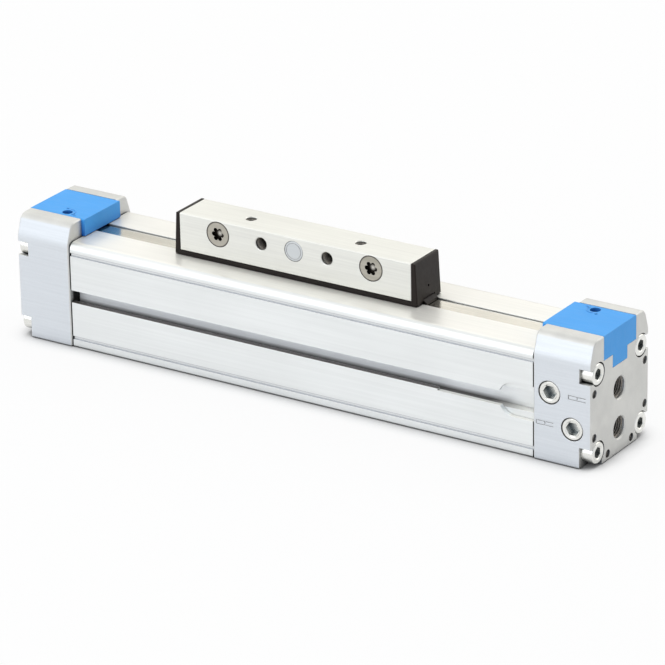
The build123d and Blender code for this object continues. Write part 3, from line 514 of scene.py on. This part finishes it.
def star_recess(tree, colour, metallic):
    """Painted shade in the star recess and at the rim, with a painted highlight on the floor."""
    place = position(tree)
    from_middle = calc(tree, "ABSOLUTE", calc(tree, "SUBTRACT", place["X"], CARRIAGE_REST))
    along = calc(tree, "SUBTRACT", from_middle, SCREW_OUT)
    up = calc(tree, "SUBTRACT", place["Z"], ROW_HEIGHT)
    from_axis = add(tree, "VectorMath", {0: add(tree, "CombineXYZ", {0: along, 1: up})[0]},
                    operation="LENGTH")["Value"]
    # Painted shade in the recess and at the head's rim, and a painted highlight on the recess floor.
    painted_floor_glint, painted_star_shade, gap_shade = (0.62, 0.60, 0.55), (0.022, 0.019, 0.016), (0.09, 0.08, 0.07)
    off_centre = spread(tree, from_axis, 0, 1, *FLOOR_SPOT)
    recess = blend_colours(tree, off_centre, painted_floor_glint, painted_star_shade)
    at_rim = spread(tree, from_axis, 0, 0.85, *HEAD_RIM)
    colour = blend_colours(tree, at_rim, colour, gap_shade)
    below_face = between(tree, place["Y"], RECESS_FACE, 0.0)
    return blend_colours(tree, below_face, colour, recess), metallic


worked_metal("stainless_band", (0.55, 0.528, 0.47), (0.70, 0.675, 0.605), gloss=(0.14, 0.24),
             line=(0.35, 0.004), grain=(0.3, 0.001), edge=0.1, rounding=0.05)
worked_metal("zinc_steel", (0.72, 0.72, 0.68), (0.86, 0.86, 0.83), gloss=(0.20, 0.34),
             line=(2.0, 0.003), grain=(0.4, 0.003), edge=0.3, rounding=0.12, reach=6.0,
             shade_colour=(0.12, 0.145, 0.16))
worked_metal("screw_steel", (0.36, 0.345, 0.29), (0.50, 0.475, 0.42), gloss=(0.26, 0.40),
             line=(1.6, 0.003), grain=(0.35, 0.004), edge=0.3, rounding=0.12, reach=5.0,
             shade_colour=(0.02, 0.018, 0.016), inside=star_recess)
worked_metal("brass", (0.58, 0.42, 0.18), (0.72, 0.55, 0.27), gloss=(0.22, 0.34),
             line=(1.0, 0.003), grain=(0.3, 0.002), edge=0.2, rounding=0.1)

# %% [markdown]
# ## One recipe for moulded parts
# Moulded plastic and rubber copy the surface of their mould: a fine, even grain, faint flow
# marks in the tone, and slightly paler edges where hands and tools have rubbed them.

# %% Moulded plastic and rubber
def moulded(name, dark, light, pale_edge, gloss, grain, rounding=0.2, shine=0.5, shaded=None):
    """Plastic or rubber. grain is (size, depth) in millimetres. shaded is its colour in recesses."""
    material, tree = blank(name)
    cloud = noise(tree, 11 * MM, (1.6, 1, 1), 3.0)
    specks = noise(tree, grain[0] * MM, detail=2.0, shift=4.0)
    scuffs = noise(tree, 1.1 * MM, (7, 1, 2), 4.0, shift=9.0)
    colour = blend_colours(tree, spread(tree, cloud, 0, 1), dark, light)
    rubbed = edge_mask(tree, rounding * 1.5 * MM)
    rubbed = calc(tree, "MULTIPLY", rubbed, spread(tree, scuffs, 0.1, 0.6))
    colour = blend_colours(tree, rubbed, colour, pale_edge)
    shaded = shaded or [0.12 * c for c in dark]
    colour = paint_recess_shade(tree, colour, 9.0 * MM, shaded, start=0.2, end=0.8)
    rough = spread(tree, scuffs, gloss[0], gloss[1])
    soft_edge = add(tree, "Bevel", {"Radius": rounding * MM}, samples=6)[0]
    normal = relief(tree, specks, grain[1] * MM, soft_edge)
    surface = {"Base Color": colour, "Roughness": rough, "Specular IOR Level": shine}
    show(tree, add(tree, "BsdfPrincipled", {**surface, "Normal": normal})[0])
    finishes[name] = material
    print(name, "made with", len(tree.nodes), "nodes")


moulded("blue_plastic", (0.056, 0.360, 0.85), (0.067, 0.388, 0.89), pale_edge=(0.22, 0.50, 0.92),
        gloss=(0.40, 0.52), grain=(0.35, 0.006), shine=0.3, shaded=(0.002, 0.07, 0.42))
moulded("black_plastic", (0.010, 0.006, 0.0045), (0.016, 0.010, 0.008), pale_edge=(0.07, 0.055, 0.05),
        gloss=(0.34, 0.48), grain=(0.4, 0.008), shine=0.2)
moulded("black_rubber", (0.010, 0.009, 0.009), (0.018, 0.017, 0.017), pale_edge=(0.05, 0.05, 0.05),
        gloss=(0.60, 0.75), grain=(0.3, 0.015), shine=0.25)
moulded("sealing_band", (0.020, 0.020, 0.022), (0.032, 0.032, 0.035), pale_edge=(0.09, 0.09, 0.10),
        gloss=(0.38, 0.52), grain=(0.5, 0.006))
moulded("piston_plastic", (0.60, 0.59, 0.54), (0.70, 0.69, 0.65), pale_edge=(0.80, 0.80, 0.78),
        gloss=(0.34, 0.48), grain=(0.4, 0.006))
moulded("magnet_black", (0.030, 0.030, 0.033), (0.055, 0.055, 0.060), pale_edge=(0.12, 0.12, 0.13),
        gloss=(0.45, 0.62), grain=(0.3, 0.020))

# %% [markdown]
# ## Dress the CAD nodes
# The record says which material slot each node has. A node keeps its shape and only gets our
# finish in place of its plain colour. The pressed plug is aluminium like the block around it,
# but it was turned, so it has a finish of its own.

# %% Give every node its finish
own_finish = {"locating_plug": "turned_aluminium"}
for part in frame["record"]["subparts"]:
    mesh = frame["nodes"][part["node"]].data
    mesh.materials.clear()
    mesh.materials.append(finishes[own_finish.get(part["node"], part["material_slot"])])

# %% [markdown]
# ## Making new pieces
# New shapes are made with bmesh operators and become finished objects in one step: faces turned
# outwards, a finish chosen by their slot, and a body to ride on when one is given. Their place is
# in the mesh, so the object itself stays at the origin and a pattern on Object coordinates stays put.

# %% Finish a new piece
MERGE_WITHIN = 0.0005 * MM


def finish_piece(bm, name, slot, body=None, look=None):
    """Make an object from a bmesh, with its finish. It rides on a body if one is given.

    look names a finish that differs from its slot's, for a surface that was worked in another way.
    """
    bmesh.ops.remove_doubles(bm, verts=bm.verts, dist=MERGE_WITHIN)
    bmesh.ops.recalc_face_normals(bm, faces=bm.faces)
    mesh = bpy.data.meshes.new(name)
    bm.to_mesh(mesh)
    bm.free()
    mesh.materials.append(finishes[look or slot])
    piece = bpy.data.objects.new(name, mesh)
    bpy.context.scene.collection.objects.link(piece)
    if body:
        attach(piece, body)
    print(name, "has", len(mesh.polygons), "faces")
    return piece


def new_points(made):
    """The vertices among the things that an operator returns."""
    return [item for item in made if isinstance(item, bmesh.types.BMVert)]


def new_edges(made):
    """The edges among them."""
    return [item for item in made if isinstance(item, bmesh.types.BMEdge)]


print("finish_piece ready")

# %% [markdown]
# ## The two bands
# A steel band covers the slot from outside, and a plastic band seals it from inside. The yoke
# passes between them, so the steel band rises over it and the plastic band dips under it. When
# the carriage moves, that wave moves along with it, while the ends stay clamped in the caps.
#
# We could bend a subdivided plate with a modifier. Here we shape the strip as a toolmaker would:
# start with its cross-section, run it straight, spin it round a bend, run up the ramp, bend it
# back, and run on to the middle. Each band is two halves that meet under the carriage.

# %% Strip helpers
CORNER = 0.3


def run_straight(bm, loop, move):
    """Pull a loop of edges along a vector and return the loop at its new end."""
    made = bmesh.ops.extrude_edge_only(bm, edges=loop)["geom"]
    points = new_points(made)
    bmesh.ops.translate(bm, vec=move, verts=points)
    return [e for e in new_edges(made) if e.verts[0] in points and e.verts[1] in points]


def run_bend(bm, loop, centre, angle):
    """Turn a loop of edges about an axis along Y and return the loop at its new end."""
    points = list({v for e in loop for v in e.verts})
    made = bmesh.ops.spin(bm, geom=points + loop, cent=centre, axis=(0, 1, 0), angle=angle, steps=8)
    return new_edges(made["geom_last"])


def strip_section(bm, width, thickness, place):
    """The end of a strip as a loop of edges across X. CORNER is a share of its thickness."""
    made = bmesh.ops.create_grid(bm, x_segments=1, y_segments=1, size=0.5)
    bmesh.ops.scale(bm, vec=(thickness, width, 1), verts=made["verts"])
    upright = Matrix.Rotation(math.pi / 2, 3, "Y")
    bmesh.ops.rotate(bm, cent=(0, 0, 0), matrix=upright, verts=made["verts"])
    bmesh.ops.bevel(bm, geom=made["verts"], offset=thickness * CORNER, offset_type="OFFSET",
                    segments=2, profile=0.5, affect="VERTICES", material=-1)
    bmesh.ops.translate(bm, vec=place, verts=bm.verts)
    bmesh.ops.delete(bm, geom=bm.faces[:], context="FACES_ONLY")
    return bm.edges[:]


print("strip helpers ready")

# %% [markdown]
# The sizes below are the real ones: `reach` is how far the strip goes into the cap that clamps it,
# `level` is how high it lies in its groove, and `lift` is how far it rises, or sinks if negative.
# The ramp runs from `far` to `near`, as measured from the carriage's middle. A bend of angle `a`
# and radius `r` uses up `r * tan(a / 2)` of the straight run on either side.

# %% Half a band
carriage_x = sum(corner.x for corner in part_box("driver_block")) / 2
cap_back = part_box("end_cap_right")[0].x


def half_band(name, node, slot, side, width, thickness, level, lift, near, far, radius, reach):
    """One half of a band on side +1 or -1, from its clamped end to the carriage's middle."""
    angle = math.atan2(abs(lift), far - near)
    used = radius * math.tan(angle / 2)
    turn = side * math.copysign(angle, lift)
    towards = Vector((-side, 0, 0))
    bm = bmesh.new()
    start = Vector((side * (cap_back + reach), 0, level))
    loop = strip_section(bm, width, thickness, start)
    first = loop
    corner = carriage_x + side * far
    loop = run_straight(bm, loop, towards * (abs(start.x - corner) - used))
    bend = Vector((corner + side * used, 0, level + math.copysign(radius, lift)))
    loop = run_bend(bm, loop, bend, turn)
    slope = Matrix.Rotation(turn, 3, "Y") @ towards
    loop = run_straight(bm, loop, slope * (math.hypot(lift, far - near) - 2 * used))
    bend = Vector((carriage_x + side * (near - used), 0, level + lift - math.copysign(radius, lift)))
    loop = run_bend(bm, loop, bend, -turn)
    loop = run_straight(bm, loop, towards * (near - used))
    bmesh.ops.holes_fill(bm, edges=first, sides=0)
    bmesh.ops.holes_fill(bm, edges=loop, sides=0)
    piece = finish_piece(bm, name, slot)
    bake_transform(piece)
    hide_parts(node)


print("the carriage's middle is at", round(carriage_x / MM, 2), "mm")

# %% [markdown]
# The steel band is thin and lies near the top of its groove. The plastic band is thicker and
# seals the slot from below. The carriage stands left of the middle, so the halves differ in length.

# %% The four halves
for side, end in ((1, "right"), (-1, "left")):
    half_band(f"outer_band_{end}", "outer_band", "stainless_band", side,
              width=8.0 * MM, thickness=0.4 * MM, level=43.05 * MM, lift=3.25 * MM,
              near=28 * MM, far=46.65 * MM, radius=40 * MM, reach=12.5 * MM)
    half_band(f"inner_band_{end}", "inner_band", "sealing_band", side,
              width=8.6 * MM, thickness=0.8 * MM, level=34.55 * MM, lift=-5.55 * MM,
              near=24 * MM, far=44.5 * MM, radius=15 * MM, reach=6.0 * MM)

# %% [markdown]
# ## Threads
# A thread is a small ridge wound along a helix. Modelling it as stacked rings is easier, but the
# eye sees at once that rings don't climb. `spin` can wind a profile: with `dvec` it also moves
# it a little along the axis at every step. We wind a small closed triangle, whose base is just
# inside the hole's wall, and close both of its ends. `SETBACK` and `BASE_WIDTH` are shares of the
# pitch: the base is a little narrower, so that one turn doesn't share an edge with the next.

# %% Wind a thread
IN_WALL = 0.06 * MM
SETBACK, BASE_WIDTH = 0.8, 0.94


def wind_thread(bm, mouth, inward, radius, pitch, ridge, turns, steps=28):
    """A right-handed ridge inside a hole, from just below its mouth and inward along a vector."""
    inward = Vector(inward)
    outward = inward.orthogonal().normalized()
    start = Vector(mouth) + inward * pitch * SETBACK
    wall = radius + IN_WALL
    crest, foot = inward * pitch * BASE_WIDTH / 2, inward * pitch * BASE_WIDTH
    places = [outward * wall, outward * (radius - ridge) + crest, outward * wall + foot]
    points = [bm.verts.new(start + place) for place in places]
    section = [bm.edges.new((points[i], points[(i + 1) % 3])) for i in range(3)]
    made = bmesh.ops.spin(bm, geom=points + section, cent=mouth, axis=inward,
                          dvec=inward * pitch / steps, angle=2 * math.pi * turns,
                          steps=int(steps * turns))
    bmesh.ops.contextual_create(bm, geom=section)
    bmesh.ops.contextual_create(bm, geom=new_edges(made["geom_last"]))


def threaded(name, holes, slot, body):
    """One piece with the threads of several holes, each (mouth, inward, thread size, turns)."""
    bm = bmesh.new()
    for mouth, inward, size, turns in holes:
        radius, pitch, ridge = (length * MM for length in size)
        wind_thread(bm, mouth, inward, radius, pitch, ridge, turns)
    finish_piece(bm, name, slot, body, "painted_shade_thread")


print("thread helpers ready")

# %% [markdown]
# Each cap has two G1/8 ports and six M4 holes in its end face. The carriage has two M6 holes in
# its front, in one row with the countersunk screws, and two M5 holes in its top. The left cap is
# the right one turned half a turn, so only the sign of X changes for holes that lie the same way
# on both. A thread's size is the radius of its hole, its pitch and the height of its ridge, in
# millimetres.

# %% Threads in the caps and the carriage
G1_8, M4, M5, M6 = (4.3, 0.907, 0.42), (1.65, 0.7, 0.28), (2.1, 0.8, 0.32), (2.5, 1.0, 0.4)
BORE_HEIGHT, PORT_RISES = 21.6 * MM, (4.6 * MM, -11.5 * MM)
FOOT_OUT, FOOT_IN = 18.9 * MM, 8.8 * MM
FRONT_SIDES, TOP_SIDES = (-15 * MM, 15 * MM), (-25 * MM, 25 * MM)
cap_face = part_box("end_cap_right")[1].x
foot_places = [(y, z) for y in (-FOOT_OUT, FOOT_OUT) for z in (-FOOT_IN, FOOT_IN)]
foot_places += [(y, -FOOT_OUT) for y in (-FOOT_IN, FOOT_IN)]
for side, end in ((1, "right"), (-1, "left")):
    face, into = side * cap_face, (-side, 0, 0)
    ports = [((face, 0, BORE_HEIGHT + rise), into, G1_8, 8) for rise in PORT_RISES]
    threaded(f"port_threads_{end}", ports, "cast_aluminium", "barrel")
    feet = [((face, y, BORE_HEIGHT + z), into, M4, 3.2) for y, z in foot_places]
    threaded(f"foot_threads_{end}", feet, "cast_aluminium", "barrel")

block_low, block_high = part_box("driver_block")
from_front = [(carriage_x + x, block_low.y, ROW_HEIGHT) for x in FRONT_SIDES]
from_top = [(carriage_x + x, 0, block_high.z) for x in TOP_SIDES]
block_holes = [(mouth, (0, 1, 0), M6, 9) for mouth in from_front]
block_holes += [(mouth, (0, 0, -1), M5, 8) for mouth in from_top]
threaded("block_threads", block_holes, "machined_aluminium", "carriage")

# %% [markdown]
# ## Raised signs
# Beside each cushioning screw the cover has a small arc with an arrow, a minus and a plus, which
# say which way to turn it. These are plain strokes, so we make them from flat bars and one spun
# arc, and give them a little height. They are drawn flat around the origin, and one matrix then
# puts each set in place.

# %% Strokes
def bar(bm, start, end, width):
    """A flat bar in the XY plane between two points, in millimetres."""
    start, end = Vector((*start, 0)) * MM, Vector((*end, 0)) * MM
    along = end - start
    made = bmesh.ops.create_grid(bm, x_segments=1, y_segments=1, size=0.5)["verts"]
    bmesh.ops.scale(bm, vec=(along.length, width * MM, 1), verts=made)
    turn = Matrix.Rotation(math.atan2(along.y, along.x), 3, "Z")
    bmesh.ops.rotate(bm, cent=(0, 0, 0), matrix=turn, verts=made)
    bmesh.ops.translate(bm, vec=(start + end) / 2, verts=made)


def arc(bm, radius, width, start, end):
    """A flat arc about the origin, in millimetres and degrees."""
    first = Matrix.Rotation(math.radians(start), 3, "Z")
    points = [bm.verts.new(first @ Vector(((radius + w) * MM, 0, 0))) for w in (-width / 2, width / 2)]
    edge = bm.edges.new(points)
    bmesh.ops.spin(bm, geom=points + [edge], cent=(0, 0, 0), axis=(0, 0, 1),
                   angle=math.radians(end - start), steps=24)


def arrow(bm, tip, heading, size):
    """A flat arrowhead at a point, in millimetres and degrees."""
    made = bmesh.ops.create_circle(bm, cap_ends=True, segments=3, radius=size * MM)["verts"]
    turn = Matrix.Rotation(math.radians(heading - 90), 3, "Z")
    bmesh.ops.rotate(bm, cent=(0, 0, 0), matrix=turn, verts=made)
    bmesh.ops.translate(bm, vec=(tip[0] * MM, tip[1] * MM, 0), verts=made)


def raise_strokes(bm, height, place):
    """Give flat strokes a height and put them in place."""
    made = bmesh.ops.extrude_face_region(bm, geom=bm.faces[:], use_keep_orig=True)["geom"]
    bmesh.ops.translate(bm, vec=(0, 0, height * MM), verts=new_points(made))
    bmesh.ops.transform(bm, matrix=place, verts=bm.verts)


print("stroke helpers ready")

# %% [markdown]
# The arc lies around the hole on the side that faces away from the middle of the cover. On the
# left cover everything is turned half a turn, exactly as the cap below it is.

# %% Adjusting marks on the covers
ARC_RADIUS, STROKE, STROKE_HEIGHT = 3.2, 0.4, 0.15
SCREW_X, SCREW_Y = 114.5 * MM, 8.6 * MM
cover_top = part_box("strip_cover_right")[1].z
arrow_place = math.radians(165)
arrow_tip = (ARC_RADIUS * math.cos(arrow_place), ARC_RADIUS * math.sin(arrow_place))
minus = [((-4.9, 1.6), (-3.7, 1.6))]
plus = [((1.6, -3.4), (2.8, -3.4)), ((2.2, -4.0), (2.2, -2.8))]
for side, end in ((1, "right"), (-1, "left")):
    bm = bmesh.new()
    arc(bm, ARC_RADIUS, STROKE, start=170, end=280)
    arrow(bm, arrow_tip, heading=78, size=0.8)
    for bar_start, bar_end in minus + plus:
        bar(bm, bar_start, bar_end, STROKE)
    turn = Matrix.Rotation(0 if side > 0 else math.pi, 4, "Z")
    screw = Vector((side * SCREW_X, side * SCREW_Y, cover_top))
    raise_strokes(bm, STROKE_HEIGHT, Matrix.Translation(screw) @ turn)
    finish_piece(bm, f"adjusting_marks_{end}", "blue_plastic", "barrel")
